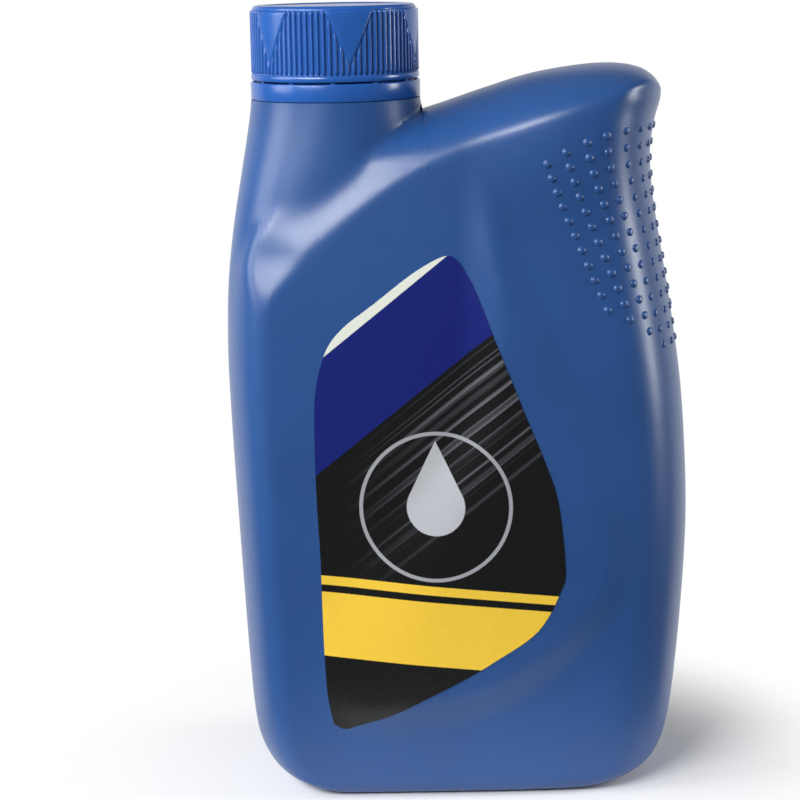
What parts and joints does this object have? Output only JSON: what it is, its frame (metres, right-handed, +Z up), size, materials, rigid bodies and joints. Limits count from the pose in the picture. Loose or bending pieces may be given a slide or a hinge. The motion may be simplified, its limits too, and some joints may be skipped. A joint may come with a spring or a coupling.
{
  "type": "fork oil bottle",
  "caption": "Blow-moulded one litre oil bottle with an offset neck, dotted grip, recessed label panel and a ribbed screw cap over a tamper ring.",
  "frame": {"origin": "middle of the base, on the surface that the bottle stands on", "axes": "+X towards the grip side, -Y out of the front face, +Z up along the neck"},
  "size_m": [0.1265, 0.0602, 0.215],
  "materials": {
    "bottle_plastic": "satin blow-moulded polyethylene",
    "cap_plastic": "glossy moulded polypropylene",
    "liner_foam": "foamed sealing wad",
    "label_film": "printed plastic film",
    "oil": "clear amber liquid"
  },
  "bodies": {
    "bottle": {"bottle": "bottle_plastic", "neck_finish": "bottle_plastic", "oil": "oil", "tamper_ring": "cap_plastic", "label": "label_film"},
    "liner": {"cap_liner": "liner_foam"},
    "cap": {"cap": "cap_plastic"}
  },
  "joints": [
    {"name": "cap_lift", "type": "slide", "parent": "bottle", "child": "liner", "axis": [0, 0, 1], "range_m": [0, 0.018]},
    {"name": "cap_turn", "type": "hinge", "parent": "liner", "child": "cap", "pos_m": [-0.032, 0, 0.205], "axis": [0, 0, 1], "range_deg": [0, 1620]}
  ],
  "couplings": [
    {"joint": "cap_lift", "follows": "cap_turn", "m_per_rad": 0.00063662}
  ]
}
